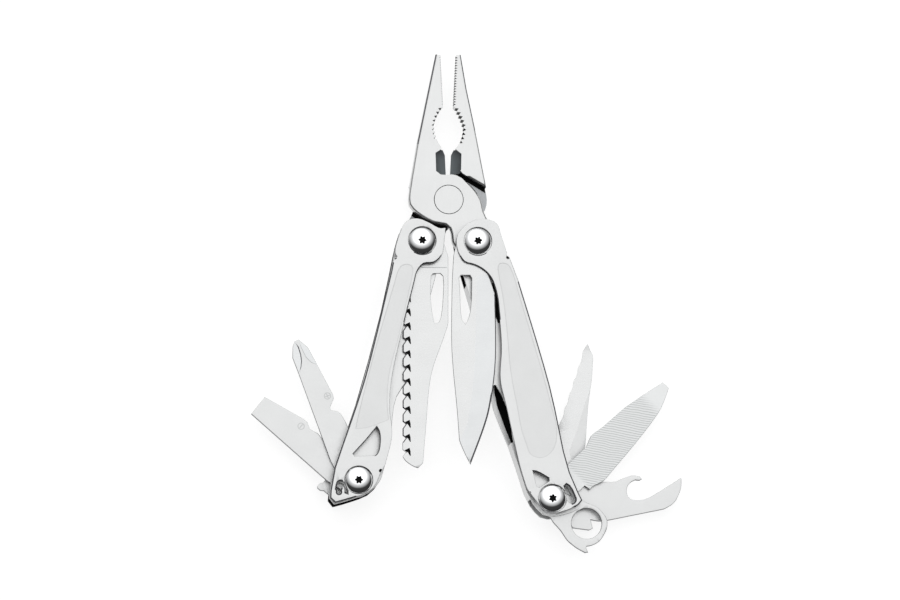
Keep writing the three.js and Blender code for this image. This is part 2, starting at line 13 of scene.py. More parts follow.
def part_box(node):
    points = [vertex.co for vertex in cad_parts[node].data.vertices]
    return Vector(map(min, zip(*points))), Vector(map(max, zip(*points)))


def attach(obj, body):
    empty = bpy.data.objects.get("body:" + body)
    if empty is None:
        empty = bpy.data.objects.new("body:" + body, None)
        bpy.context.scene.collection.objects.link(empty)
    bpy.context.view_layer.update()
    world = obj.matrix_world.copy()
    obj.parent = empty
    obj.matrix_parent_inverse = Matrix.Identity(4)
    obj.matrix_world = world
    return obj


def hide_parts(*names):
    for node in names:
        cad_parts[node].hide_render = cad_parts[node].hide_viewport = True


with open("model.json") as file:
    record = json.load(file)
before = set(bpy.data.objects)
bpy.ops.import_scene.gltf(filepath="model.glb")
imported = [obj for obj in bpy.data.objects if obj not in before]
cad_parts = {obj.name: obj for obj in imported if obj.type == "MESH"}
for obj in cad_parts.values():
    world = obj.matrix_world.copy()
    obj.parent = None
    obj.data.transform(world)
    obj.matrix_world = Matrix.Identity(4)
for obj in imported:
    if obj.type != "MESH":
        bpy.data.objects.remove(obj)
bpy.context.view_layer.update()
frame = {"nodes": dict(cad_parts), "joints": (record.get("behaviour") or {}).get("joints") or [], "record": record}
NODES = frame["nodes"]
MM = 0.001


# ---------- Where things are ----------

class Place:
    """A frame about a joint, turned by an angle in degrees, for drawings in millimetres."""

    def __init__(self, joint_name, angle):
        joint = next(j for j in frame["joints"] if j["name"] == joint_name)
        self.x, self.y = joint["pos_m"][0] / MM, joint["pos_m"][1] / MM
        self.angle = math.radians(angle)

    def at(self, point):
        """A point of the drawing as [x, y] of the whole object, in millimetres."""
        c, s = math.cos(self.angle), math.sin(self.angle)
        x, y = point[0], point[1]
        return (self.x + c * x - s * y, self.y + s * x + c * y)

    def back(self, point):
        """A point of the whole object in this drawing."""
        c, s = math.cos(self.angle), math.sin(self.angle)
        x, y = point[0] - self.x, point[1] - self.y
        return (c * x + s * y, c * y - s * x)

    def all(self, points):
        return [self.at(point) for point in points]


FRONT_JAW = Place("pliers_pivot", 2.6)
REAR_JAW = Place("pliers_pivot", -2.6)
RIGHT = Place("right_handle_fold", 16.05)
LEFT = Place("left_handle_fold", -14.6)
RIGHT_END = Place("file_pivot", 16.05)
LEFT_END = Place("phillips_pivot", -14.6)
KNIFE = Place("knife_pivot", 0)
SAW = Place("saw_pivot", 0)
PHILLIPS = Place("phillips_pivot", 23.4)
FLAT = Place("flat_driver_pivot", 52.4)
SERRATED = Place("serrated_pivot", -13.9)
FILE = Place("file_pivot", -44.8)


# ---------- Materials ----------

def steel(name, tone, roughness, grain, grain_depth, turn=0.0, wear=0.08):
    """Steel with fine grinding lines along one direction, and slow changes of tone and gloss."""
    material = bpy.data.materials.new(name)
    material.use_nodes = True
    tree = material.node_tree
    shader = tree.nodes["Principled BSDF"]
    shader.inputs["Metallic"].default_value = 1.0
    place = tree.nodes.new("ShaderNodeTexCoord")
    turned = tree.nodes.new("ShaderNodeMapping")
    turned.inputs["Rotation"].default_value = (0, 0, math.radians(turn))
    turned.inputs["Scale"].default_value = grain
    lines = tree.nodes.new("ShaderNodeTexNoise")
    lines.inputs["Scale"].default_value = 1000.0
    lines.inputs["Detail"].default_value = 3.0
    slow = tree.nodes.new("ShaderNodeTexNoise")
    slow.inputs["Scale"].default_value = 140.0
    slow.inputs["Detail"].default_value = 4.0
    gloss = tree.nodes.new("ShaderNodeMapRange")
    gloss.inputs["To Min"].default_value = roughness * 0.8
    gloss.inputs["To Max"].default_value = roughness * 1.25
    colour = tree.nodes.new("ShaderNodeMix")
    colour.data_type = "RGBA"
    low = [value * (1 - wear) for value in tone]
    colour.inputs["A"].default_value = (*low, 1)
    colour.inputs["B"].default_value = (*tone, 1)
    bump = tree.nodes.new("ShaderNodeBump")
    bump.inputs["Distance"].default_value = grain_depth * MM
    bump.inputs["Strength"].default_value = 0.35
    link = tree.links.new
    link(place.outputs["Object"], turned.inputs["Vector"])
    link(turned.outputs["Vector"], lines.inputs["Vector"])
    link(place.outputs["Object"], slow.inputs["Vector"])
    link(lines.outputs["Fac"], gloss.inputs["Value"])
    link(gloss.outputs["Result"], shader.inputs["Roughness"])
    link(slow.outputs["Fac"], colour.inputs["Factor"])
    link(colour.outputs["Result"], shader.inputs["Base Color"])
    link(lines.outputs["Fac"], bump.inputs["Height"])
    link(bump.outputs["Normal"], shader.inputs["Normal"])
    return material


ALONG = (4.0, 0.12, 4.0)
ACROSS = (0.12, 4.0, 4.0)
EVEN = (2.0, 2.0, 2.0)
FINISH = {
    "frame_steel": steel("frame_steel", (0.555, 0.56, 0.56), 0.3, ALONG, 0.012),
    "plate_steel": steel("plate_steel", (0.555, 0.56, 0.56), 0.32, EVEN, 0.015),
    "panel_steel": steel("panel_steel", (0.54, 0.545, 0.545), 0.34, EVEN, 0.018),
    # Painted shade: the crease around a handle's pressed panel.
    "crease_painted_shade": steel("crease_painted_shade", (0.485, 0.49, 0.49), 0.36, EVEN, 0.018),
    "blade_steel": steel("blade_steel", (0.545, 0.55, 0.55), 0.26, ACROSS, 0.002),
    "ground_steel": steel("ground_steel", (0.535, 0.545, 0.55), 0.24, ACROSS, 0.004),
    "tool_steel": steel("tool_steel", (0.54, 0.545, 0.545), 0.3, EVEN, 0.012),
    "polished_steel": steel("polished_steel", (0.85, 0.86, 0.87), 0.05, EVEN, 0.001),
    "spring_steel": steel("spring_steel", (0.3, 0.31, 0.32), 0.4, ALONG, 0.03),
    # Painted shade: the three edge finishes below are dark, grey and soft tones for walls, chamfers, grooves and
    # thin lines where shade falls.
    "dark_edge_shade": steel("dark_edge_shade", (0.07, 0.07, 0.075), 0.45, ALONG, 0.02),
    "grey_edge_shade": steel("grey_edge_shade", (0.2, 0.2, 0.21), 0.45, ALONG, 0.02),
    "soft_edge_shade": steel("soft_edge_shade", (0.4, 0.41, 0.41), 0.4, ALONG, 0.02),
    # Painted shade: the jaws' lap faces where the other jaw shades them, and the cutters' sloped faces.
    "lap_painted_shade": steel("lap_painted_shade", (0.34, 0.35, 0.36), 0.4, EVEN, 0.02),
    "cutter_painted_shade": steel("cutter_painted_shade", (0.3, 0.32, 0.33), 0.4, ALONG, 0.02),
    # Painted shade: near-black for gaps, sockets, notches and hollows.
    "black_painted_shade": steel("black_painted_shade", (0.01, 0.01, 0.01), 0.6, EVEN, 0.02),
}
SLOT_OF = {
    "front_jaw": "frame_steel", "rear_jaw": "frame_steel", "pliers_rivet": "frame_steel",
    "knife_blade": "blade_steel", "saw_blade": "blade_steel", "serrated_blade": "blade_steel",
}


def slot_of(node_name):
    if node_name in SLOT_OF:
        return SLOT_OF[node_name]
    if "screw" in node_name or "nut" in node_name:
        return "polished_steel"
    if "washer" in node_name or "spring" in node_name:
        return "spring_steel"
    if "plate" in node_name:
        return "plate_steel"
    if "channel" in node_name or "spacer" in node_name:
        return "frame_steel"
    return "tool_steel"


BODY_OF = {node: body for body, nodes in frame["record"]["behaviour"]["bodies"].items() for node in nodes}


# ---------- Shapes ----------

def finished(name, mesh, stands_for, material=None):
    """Adds a mesh as a piece that rides with the CAD node it stands for."""
    piece = bpy.data.objects.new(name, mesh)
    bpy.context.collection.objects.link(piece)
    slot = slot_of(stands_for)
    finish = material or FINISH[slot]
    if mesh.materials:
        mesh.materials[0] = finish
    else:
        mesh.materials.append(finish)
    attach(piece, BODY_OF[stands_for])
    return piece


def shaded(mesh, angle=38):
    mesh.polygons.foreach_set("use_smooth", [True] * len(mesh.polygons))
    mesh.set_sharp_from_angle(angle=math.radians(angle))
    mesh.update()


def even_shading(piece):
    """Keeps flat faces flat where they meet a rounded edge."""
    weights = piece.modifiers.new("even_shading", "WEIGHTED_NORMAL")
    weights.keep_sharp = True
    weights.weight = 100


def solid_of(node_name):
    """A clean copy of a CAD node's mesh, with its flat faces whole."""
    shape = bmesh.new()
    shape.from_mesh(NODES[node_name].data)
    bmesh.ops.remove_doubles(shape, verts=shape.verts, dist=2e-6)
    bmesh.ops.dissolve_limit(shape, angle_limit=math.radians(0.5), verts=shape.verts, edges=shape.edges)
    return shape


def round_edges(shape, width, segments=2, angle=35):
    """Rounds the sharp edges of a solid, width in millimetres."""
    least = math.radians(angle)
    sharp = [e for e in shape.edges if len(e.link_faces) == 2 and e.calc_face_angle(0) > least]
    bmesh.ops.bevel(
        shape, geom=sharp, offset=width * MM, segments=segments, profile=0.6,
        affect="EDGES", clamp_overlap=True,
    )


def as_mesh(shape, name):
    mesh = bpy.data.meshes.new(name)
    shape.to_mesh(mesh)
    shape.free()
    return mesh


def rounded_copy(node_name, width=0.15, material=None):
    """Replaces a CAD node by the same solid with rounded edges."""
    shape = solid_of(node_name)
    round_edges(shape, width)
    mesh = as_mesh(shape, node_name + "_mesh")
    shaded(mesh)
    piece = finished(node_name + "_look", mesh, node_name, material)
    even_shading(piece)
    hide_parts(node_name)
    return piece

# ---------- Flat pieces with smooth outlines ----------

def face_loops(node_name, height):
    """The edges of a node's flat upper face as lists of [x, y] in millimetres, the outer one first."""
    shape = bmesh.new()
    shape.from_mesh(NODES[node_name].data)
    bmesh.ops.remove_doubles(shape, verts=shape.verts, dist=2e-6)
    flat = set()
    for face in shape.faces:
        if all(abs(v.co.z / MM - height) < 0.004 for v in face.verts):
            flat.add(face)
    follow = {}
    for face in flat:
        for corner in face.loops:
            if any(other not in flat for other in corner.edge.link_faces):
                follow[corner.vert] = corner.link_loop_next.vert
    loops = []
    while follow:
        start = next(iter(follow))
        loop, at = [], start
        while at in follow:
            loop.append((at.co.x / MM, at.co.y / MM))
            at = follow.pop(at)
        loops.append(loop)
    shape.free()
    loops.sort(key=lambda loop: -abs(area_of(loop)))
    return loops


def area_of(loop):
    pairs = zip(loop, loop[1:] + loop[:1])
    return sum(a[0] * b[1] - b[0] * a[1] for a, b in pairs) / 2


def inside(point, loop):
    result = False
    for a, b in zip(loop, loop[1:] + loop[:1]):
        if (a[1] > point[1]) != (b[1] > point[1]):
            if point[0] < a[0] + (point[1] - a[1]) * (b[0] - a[0]) / (b[1] - a[1]):
                result = not result
    return result


SHORTEST = 0.25


def smoothed(loop, corner=30, longest=5.0, parts=3):
    """Rounds the runs of segments between corners into a curve through the same points.

    A bend of more than corner degrees stays sharp, and a segment stays straight if it is
    longer than longest or shorter than SHORTEST, in millimetres."""
    count = len(loop)
    points = [Vector(p) for p in loop]
    bend = []
    for i in range(count):
        before = points[i] - points[i - 1]
        after = points[(i + 1) % count] - points[i]
        bend.append(math.degrees(before.angle(after, 0)) > corner)
    result = []
    for i in range(count):
        a, b = points[i], points[(i + 1) % count]
        result.append(tuple(a))
        length = (b - a).length
        if length > longest or length < SHORTEST or (bend[i] and bend[(i + 1) % count]):
            continue
        go = leave = (b - a).normalized()
        if not bend[i]:
            go = (go + (a - points[i - 1]).normalized()).normalized()
        if not bend[(i + 1) % count]:
            leave = (leave + (points[(i + 2) % count] - b).normalized()).normalized()
        go, leave = go * length, leave * length
        for step in range(1, parts):
            t = step / parts
            towards_b = 3 * t ** 2 - 2 * t ** 3
            of_go, of_leave = t ** 3 - 2 * t ** 2 + t, t ** 3 - t ** 2
            result.append(tuple(a * (1 - towards_b) + go * of_go + b * towards_b + leave * of_leave))
    return result


def inset(loop, depths):
    """The loop moved into the piece by a depth for each point."""
    result = []
    count = len(loop)
    for i in range(count):
        here = Vector(loop[i])
        before = (here - Vector(loop[i - 1])).normalized()
        after = (Vector(loop[(i + 1) % count]) - here).normalized()
        n1, n2 = Vector((-before.y, before.x)), Vector((-after.y, after.x))
        shift = (n1 + n2) / max(0.4, 1 + n1.dot(n2))
        result.append(tuple(here + shift * depths[i]))
    return result


def key_of(point):
    return (round(point[0], 3), round(point[1], 3))


def add_cap(shape, loops, lines, heights, level, patches=()):
    """Fills the flat side of a piece; heights gives the points that aren't at its level."""
    points, edges = [], []
    for outline in [outline for outline, _, drawn in patches if drawn]:
        start = len(points)
        points += outline
        edges += [(start + i, start + (i + 1) % len(outline)) for i in range(len(outline))]
    for loop in loops:
        start = len(points)
        points += loop
        edges += [(start + i, start + (i + 1) % len(loop)) for i in range(len(loop))]
    for line in lines:
        start = len(points)
        points += line
        edges += [(start + i, start + i + 1) for i in range(len(line) - 1)]
    flat, _, faces, _, _, _ = delaunay_2d_cdt([Vector(p) for p in points], edges, [], 1, 1e-6)
    made = []
    for p in flat:
        made.append(shape.verts.new((p.x * MM, p.y * MM, heights.get(key_of(p), level) * MM)))
    for face in faces:
        middle = [sum(flat[i][axis] for i in face) / len(face) for axis in (0, 1)]
        if not inside(middle, loops[0]) or any(inside(middle, hole) for hole in loops[1:]):
            continue
        added = shape.faces.new([made[i] for i in face])
        for outline, material, _ in patches:
            if inside(middle, outline):
                added.material_index = material
    for vert in made:
        if not vert.link_faces:
            shape.verts.remove(vert)


# A flat piece's materials in their order: its faces, its walls in painted grey shade and its bold edges in painted
# dark shade, then the extra ones.
PLAIN, WALL, BOLD, FIRST, SECOND, THIRD = range(6)
SOFTENING = 0.29   # the middle ring of a rounded edge, as a share of the edge's width


def sheet_mesh(name, loops, bottom, top, edge=0.2, lines=(), high=None, low=None, patches=(), bold=None):
    """A flat piece with rounded edges. high and low are functions of [x, y], where it is thinner.
    lines are (points, top height, bottom height), and patches are (outline, material, drawn or not).
    bold tells where the edge gets a wider rim of painted dark shade and how wide it is there."""
    shape = bmesh.new()
    bold = bold or (lambda p: 0.0)
    top_of = high or (lambda p: top)
    low_of = low or (lambda p: bottom)
    top_loops, low_loops, top_heights, low_heights = [], [], {}, {}
    for loop in loops:
        tops = [top_of(p) for p in loop]
        lows = [low_of(p) for p in loop]
        depths = [min(bold(p) or edge, 0.35 * (t - b)) for p, t, b in zip(loop, tops, lows)]
        rounds = inset(loop, [SOFTENING * d for d in depths])
        inner = inset(loop, [max(d, bold(p)) for p, d in zip(loop, depths)])
        rings = []
        for outline, lift in ((inner, 0.0), (rounds, SOFTENING), (loop, 1.0)):
            rings.append([(p, b + lift * d) for p, b, d in zip(outline, lows, depths)])
        for outline, lift in ((loop, 1.0), (rounds, SOFTENING), (inner, 0.0)):
            rings.append([(p, t - lift * d) for p, t, d in zip(outline, tops, depths)])
        made = [[shape.verts.new((p[0] * MM, p[1] * MM, z * MM)) for p, z in ring] for ring in rings]
        for level, (ring, above) in enumerate(zip(made, made[1:])):
            for i in range(len(loop)):
                j = (i + 1) % len(loop)
                face = shape.faces.new((ring[i], ring[j], above[j], above[i]))
                if bold(loop[i]) and bold(loop[j]):
                    face.material_index = BOLD
                elif level in (1, 2, 3):
                    face.material_index = WALL
        top_loops.append(inner)
        low_loops.append(inner)
        for p, t, b in zip(inner, tops, lows):
            top_heights[key_of(p)] = t
            low_heights[key_of(p)] = b
    for line, line_top, line_low in lines:
        for p in line:
            top_heights[key_of(p)] = line_top
            low_heights[key_of(p)] = line_low
    drawn = [line for line, _, _ in lines]
    add_cap(shape, top_loops, drawn, top_heights, top, patches)
    add_cap(shape, low_loops, drawn, low_heights, bottom, [p for p in patches if not p[2]])
    bmesh.ops.remove_doubles(shape, verts=shape.verts, dist=1e-6)
    bmesh.ops.recalc_face_normals(shape, faces=shape.faces)
    mesh = as_mesh(shape, name + "_mesh")
    shaded(mesh, 32)
    crisp = {key_of(p) for line, _, _ in lines for p in line}
    crisp_verts = {v.index for v in mesh.vertices if key_of((v.co.x / MM, v.co.y / MM)) in crisp}
    for side in mesh.edges:
        if side.vertices[0] in crisp_verts and side.vertices[1] in crisp_verts:
            side.use_edge_sharp = True
    return mesh


def sheet(node_name, bottom, top, edge=0.2, rims=("grey_edge_shade", "dark_edge_shade"), corner=30, extra=(), **more):
    """Replaces a flat CAD node by the same outline with smooth curves and rounded edges; its walls take painted
    grey shade and its bold edges painted dark shade.
    """
    loops = [smoothed(loop, corner) for loop in face_loops(node_name, top)]
    mesh = sheet_mesh(node_name, loops, bottom, top, edge, **more)
    piece = finished(node_name + "_look", mesh, node_name)
    for finish in (*rims, *extra):
        mesh.materials.append(FINISH[finish])
    even_shading(piece)
    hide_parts(node_name)
    return piece


def circle(place, x, y, radius, sides=20):
    turns = [2 * math.pi * i / sides for i in range(sides)]
    return place.all([(x + radius * math.cos(a), y + radius * math.sin(a)) for a in turns])


def box(place, x0, x1, y0, y1):
    return place.all([(x0, y0), (x1, y0), (x1, y1), (x0, y1)])

# ---------- Cutting ----------

def prism(shape, outline, bottom, top):
    """Adds an upright prism to a cutter, in millimetres of the whole object."""
    if area_of(outline) < 0:
        outline = outline[::-1]
    low = [shape.verts.new((x * MM, y * MM, bottom * MM)) for x, y in outline]
    high = [shape.verts.new((x * MM, y * MM, top * MM)) for x, y in outline]
    shape.faces.new(low[::-1])
    shape.faces.new(high)
    for i in range(len(low)):
        j = (i + 1) % len(low)
        shape.faces.new((low[i], low[j], high[j], high[i]))


def cut(piece, prisms, finish="black_painted_shade"):
    """Cuts prisms (outline, bottom, top) from a piece; the new faces take the finish, by default the near-black
    painted shade.
    """
    shape = bmesh.new()
    for outline, bottom, top in prisms:
        prism(shape, outline, bottom, top)
    mesh = as_mesh(shape, "cutter")
    mesh.materials.append(FINISH[finish])
    tool = bpy.data.objects.new("cutter", mesh)
    bpy.context.collection.objects.link(tool)
    step = piece.modifiers.new("cut", "BOOLEAN")
    step.operation = "DIFFERENCE"
    step.solver = "EXACT"
    step.material_mode = "TRANSFER"
    step.use_self = True
    step.object = tool
    bpy.context.view_layer.update()
    ready = piece.evaluated_get(bpy.context.evaluated_depsgraph_get())
    result = bpy.data.meshes.new_from_object(ready)
    piece.modifiers.remove(step)
    old = piece.data
    piece.data = result
    bpy.data.objects.remove(tool)
    bpy.data.meshes.remove(mesh)
    bpy.data.meshes.remove(old)
    shaded(result)


# ---------- Pliers jaws ----------

def jaw_blank(node_name, width):
    """A jaw with its outer edges rounded; its lap faces and the cutter's sloped faces are painted darker as shade,
    and the cutter's steep faces and the outer chamfers near the tip painted grey as shade.
    """
    place = FRONT_JAW if node_name == "front_jaw" else REAR_JAW
    outwards = -1 if node_name == "front_jaw" else 1
    shape = solid_of(node_name)
    outer = []
    for edge in shape.edges:
        if len(edge.link_faces) != 2 or edge.calc_face_angle(0) < math.radians(50):
            continue
        flat, wall = sorted(edge.link_faces, key=lambda face: -abs(face.normal.z))
        middle = (edge.verts[0].co + edge.verts[1].co) / 2 / MM
        x, y = middle.x - place.x, middle.y - place.y
        if abs(flat.normal.z) < 0.9 or 4.9 < middle.z < 7.1 or math.hypot(x, y) < 5.5:
            continue
        if y > 6.5 and wall.normal.x * outwards < 0.2:
            continue
        outer.append(edge)
    bmesh.ops.bevel(
        shape, geom=outer, offset=width * MM, segments=4, profile=0.5,
        affect="EDGES", clamp_overlap=False,
    )
    mesh = as_mesh(shape, node_name + "_mesh")
    piece = finished(node_name + "_look", mesh, node_name)
    for finish in ("grey_edge_shade", "lap_painted_shade", "cutter_painted_shade"):
        mesh.materials.append(FINISH[finish])
    painted_grey_rim, lap, cutter = 1, 2, 3
    # Painted shade: lap faces, cutter faces and outer chamfers take darker colours by where they lie and how they
    # face.
    for face in mesh.polygons:
        middle = face.center / MM
        x, y = middle.x - place.x, middle.y - place.y
        if abs(abs(face.normal.z) - 1) < 0.02 and 5.7 < middle.z < 6.3:
            face.material_index = lap
        if abs(x) < 4.5 and 8 < y < 17.5 and math.hypot(x, y) > 8 and abs(face.normal.z) < 0.95:
            face.material_index = cutter if abs(face.normal.z) > 0.3 else painted_grey_rim
        if y > (14 if outwards < 0 else 24) and x * outwards > 1 and 0.1 < abs(face.normal.z) < 0.97:
            face.material_index = painted_grey_rim
    shaded(mesh)
    return piece


def spaced(points, pitch, start=0.0):
    """Points along a line at an even pitch, each with the direction there."""
    result = []
    due = start
    travelled = 0.0
    for a, b in zip(points, points[1:]):
        a, b = Vector(a), Vector(b)
        length = (b - a).length
        while due <= travelled + length:
            result.append((a.lerp(b, (due - travelled) / length), (b - a).normalized()))
            due += pitch
        travelled += length
    return result


JAW_THROUGH = (2.0, 10.0)
MOUTH = 0.4


def notches(place, points, pitch, depth, side, start=0.5):
    """Three-sided tooth gaps along a jaw's gripping face. side is 1 where the jaw is to the right."""
    prisms = []
    for here, along in spaced(points, pitch, start):
        out = Vector((-along.y, along.x)) * side
        mouth, half = here - out * MOUTH, along * pitch * 0.54
        root = here + out * depth + along * pitch * 0.072
        prisms.append((place.all([mouth - half, root, mouth + half]), *JAW_THROUGH))
    return prisms


FRONT_GRIP = [
    (-0.9, 29.8), (-2.2, 27.8), (-3.0, 26.1), (-3.45, 24.4), (-3.5, 23), (-3.3, 21.2), (-2.8, 19.3),
]
FRONT_FLAT = [(-0.3, 46.8), (-0.3, 30.9)]
REAR_GRIP = [(0.9, 29.8), (2.4, 27.2), (3.4, 25), (3.75, 23.6), (3.8, 22.5), (3.4, 20.4), (2.8, 18.6)]
REAR_FLAT = [(0.3, 46.8), (0.3, 30.9)]
# Shallow grooves beside the other jaw's edge, cut to carry the near-black painted shade of that crevice.
LAP_SHADE_GROOVE = [
    (2.6, 9.4), (4, 8.75), (11.7, 4.85), (13, 4.2), (12.6, 2.9), (11.4, 3.5), (4, 7.5), (2.4, 8.2),
]
TANG_SHADE_GROOVE = [
    (0.5, -10.4), (0, -9.1), (-1.4, -7.8), (-5.9, -6.7), (-11.1, -3), (-12.7, 0.2),
    (-13.7, -0.3), (-12.0, -4.1), (-6.6, -8.1), (-2.1, -9.2), (-1.3, -9.9), (-1.0, -11.2),
]
GRIP_PITCH, FLAT_PITCH = 1.4, 0.85
GRIP_DEPTH = 0.85
FRONT_SHADE_GROOVE_LEVELS = (5.5, 7.0)
REAR_SHADE_GROOVE_LEVELS = (5.0, 6.5)


def mirrored(points):
    return [(-x, y) for x, y in points]


# Each jaw's tooth gaps and shade grooves are cut with faces in near-black painted shade.
front_jaw = jaw_blank("front_jaw", 0.75)
front_teeth = notches(FRONT_JAW, FRONT_GRIP, GRIP_PITCH, GRIP_DEPTH, -1)
front_teeth += notches(FRONT_JAW, FRONT_FLAT, FLAT_PITCH, 0.45, -1)
cut(front_jaw, front_teeth)
cut(front_jaw, [
    (FRONT_JAW.all(mirrored(LAP_SHADE_GROOVE)), *FRONT_SHADE_GROOVE_LEVELS),
    (REAR_JAW.all(mirrored(TANG_SHADE_GROOVE)), *FRONT_SHADE_GROOVE_LEVELS),
])
even_shading(front_jaw)
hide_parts("front_jaw")

rear_jaw = jaw_blank("rear_jaw", 0.55)
rear_teeth = notches(REAR_JAW, REAR_GRIP, GRIP_PITCH, GRIP_DEPTH, 1)
rear_teeth += notches(REAR_JAW, REAR_FLAT, FLAT_PITCH, 0.7, 1)
cut(rear_jaw, rear_teeth)
cut(rear_jaw, [
    (REAR_JAW.all(LAP_SHADE_GROOVE), *REAR_SHADE_GROOVE_LEVELS),
    (FRONT_JAW.all(TANG_SHADE_GROOVE), *REAR_SHADE_GROOVE_LEVELS),
])
even_shading(rear_jaw)
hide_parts("rear_jaw")


# ---------- Screws, nuts and rivet ----------

def lathe(name, node_name, profile, x, y, sides=48, finish=None):
    """A turned piece about an upright axis, from a profile of (radius, height) in millimetres."""
    shape = bmesh.new()
    rings = []
    for radius, height in profile:
        if radius < 1e-6:
            rings.append([shape.verts.new((x * MM, y * MM, height * MM))])
            continue
        turns = [2 * math.pi * i / sides for i in range(sides)]
        rings.append([
            shape.verts.new(((x + radius * math.cos(a)) * MM, (y + radius * math.sin(a)) * MM, height * MM))
            for a in turns
        ])
    for low, high in zip(rings, rings[1:]):
        for i in range(sides):
            j = (i + 1) % sides
            if len(low) == 1:
                shape.faces.new((low[0], high[j], high[i]))
            elif len(high) == 1:
                shape.faces.new((low[i], low[j], high[0]))
            else:
                shape.faces.new((low[i], low[j], high[j], high[i]))
    bmesh.ops.recalc_face_normals(shape, faces=shape.faces)
    mesh = as_mesh(shape, name + "_mesh")
    shaded(mesh, 40)
    return finished(name, mesh, node_name, finish)


def six_lobes(x, y, radius, lobe, turn, sides=48):
    points = []
    for i in range(sides):
        a = 2 * math.pi * i / sides
        r = radius + lobe * math.cos(6 * (a - math.radians(turn)))
        points.append((x + r * math.cos(a), y + r * math.sin(a)))
    return points


def dome(rim, low, height, steps=12):
    """Profile points of a shallow dome, from its rim up to the middle."""
    ball = (rim * rim + height * height) / (2 * height)
    angle = math.asin(rim / ball)
    points = []
    for i in range(steps + 1):
        a = angle * (1 - i / steps)
        points.append((ball * math.sin(a), low + height - ball * (1 - math.cos(a))))
    points[-1] = (0, low + height)
    return points


SCREWS = {
    "right_top": (RIGHT.x, RIGHT.y, 10),
    "left_top": (LEFT.x, LEFT.y, -5),
    "right_bottom": (RIGHT_END.x, RIGHT_END.y, 25),
    "left_bottom": (LEFT_END.x, LEFT_END.y, 0),
}
for place_name, (x, y, turn) in SCREWS.items():
    screw_name = place_name + "_screw"
    profile = [(0, 6), (1.2, 6), (1.5, 6.3), (1.5, 14.6), (3.7, 14.6), (4.0, 14.66)]
    profile += dome(4.02, 14.72, 1.09)
    screw = lathe(screw_name + "_look", screw_name, profile, x, y, 64)
    # The socket's faces are painted near-black as shade.
    cut(screw, [(six_lobes(x, y, 1.12, 0.2, turn), 14.95, 16.5)])
    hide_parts(screw_name)

low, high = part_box("pliers_rivet")
rivet = lathe("pliers_rivet_look", "pliers_rivet", [
    (0, 2.5), (4.5, 2.5), (4.65, 2.65), (4.65, 3.05), (2.6, 3.05),
    (2.6, 8.95), (4.65, 8.95), (4.65, 9.35), (4.5, 9.5), (0, 9.5),
], (low.x + high.x) / 2 / MM, (low.y + high.y) / 2 / MM, 64)
# The rivet's side faces are painted dark as shade.
rivet.data.materials.append(FINISH["dark_edge_shade"])
for face in rivet.data.polygons:
    if abs(face.normal.z) < 0.9:
        face.material_index = 1
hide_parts("pliers_rivet")

# ---------- Long blades ----------

KNIFE_MIDDLE = 13.1
KNIFE_HALF = 0.7
GRIND_TOP = -10.2
TIP_START = -64
GRIND = [
    (2.7, -10.35), (0.8, -10.5), (-0.2, -11.2), (-0.35, -13.8), (-0.5, -22), (-0.6, -29.7), (-1.1, -40),
    (-1.7, -48.1), (-3.3, -57.9), (-5.35, -62.5),
]
GRIND_SIDE = GRIND + [(-12, -64), (-12, -80), (20, -80), (20, -9)]


def knife_thickness(point):
    """Half the blade's thickness at its outline, thin along the cutting edge."""
    x, y = KNIFE.back(point)
    if y > GRIND_TOP or x < -2.6 + (y + 71) * 0.05 or (-10 < x < -1.5 and y > -30):
        if y < TIP_START:
            return KNIFE_HALF - 0.4 * min(1, (TIP_START - y) / 6)
        return KNIFE_HALF
    return KNIFE_HALF - 0.6 * min(1, (GRIND_TOP - y) / 3)


def knife_belly_shade(point):
    """The width of a dark line painted along the belly as the cutting edge's shade."""
    x, y = KNIFE.back(point)
    if y > -15 or x < -1.5 + (y + 60) * 0.12:
        return 0.0
    return 0.5 if y < -48 else 0.3


sheet(
    "knife_blade", 12.4, 13.8, 0.18, bold=knife_belly_shade,
    high=lambda p: KNIFE_MIDDLE + knife_thickness(p),
    low=lambda p: KNIFE_MIDDLE - knife_thickness(p),
    lines=[(KNIFE.all(GRIND), 13.8, 12.4)],
    patches=[(KNIFE.all(GRIND_SIDE), FIRST, False)],
    extra=("ground_steel",),
)

GULLET = [
    (-6.2, 0.1), (-3.75, 1.35), (-3.45, 0.3), (-3.35, -1.25), (-3.65, -1.15), (-4.35, 0.0), (-5.1, -0.45),
    (-6.0, -0.5),
]
SAW_TEETH, SAW_PITCH, FIRST_TOOTH = 12, 4.42, -18.2
# Painted shade: the gullets are painted near-black and the ground line grey, where shade falls in them.
saw_painted_shade = []
for number in range(SAW_TEETH):
    y = FIRST_TOOTH - SAW_PITCH * number
    saw_painted_shade.append((SAW.all([(x, y + dy) for x, dy in GULLET]), FIRST, True))
saw_painted_shade.append((box(SAW, -0.4, 7.9, -8.32, -8.05), SECOND, True))


def saw_gullet_shade(point):
    """The gullets between the teeth get dark edges of painted shade."""
    x, y = SAW.back(point)
    step = (y - FIRST_TOOTH + 1.6) % SAW_PITCH - 1.6
    return 0.3 if x < -4.3 and -66 < y < -21 and step < 0.9 else 0.0


sheet(
    "saw_blade", 11.1, 12.3, 0.15, bold=saw_gullet_shade, patches=saw_painted_shade,
    extra=("black_painted_shade", "soft_edge_shade"), corner=24,
)


# ---------- Small tools ----------

PHILLIPS_LEFT_FLUTE = [
    (-3.15, 44.0), (-1.75, 47.1), (-0.8, 48.2), (-0.6, 46.4), (-0.85, 43.9), (-1.4, 41.9), (-2.4, 40.1),
    (-3.3, 38.9),
]
PHILLIPS_RIGHT_FLUTE = [
    (0.45, 47.9), (1.7, 45.9), (2.45, 43.8), (2.8, 38.9), (1.55, 40.4), (0.65, 42.4), (0.45, 45.6),
]
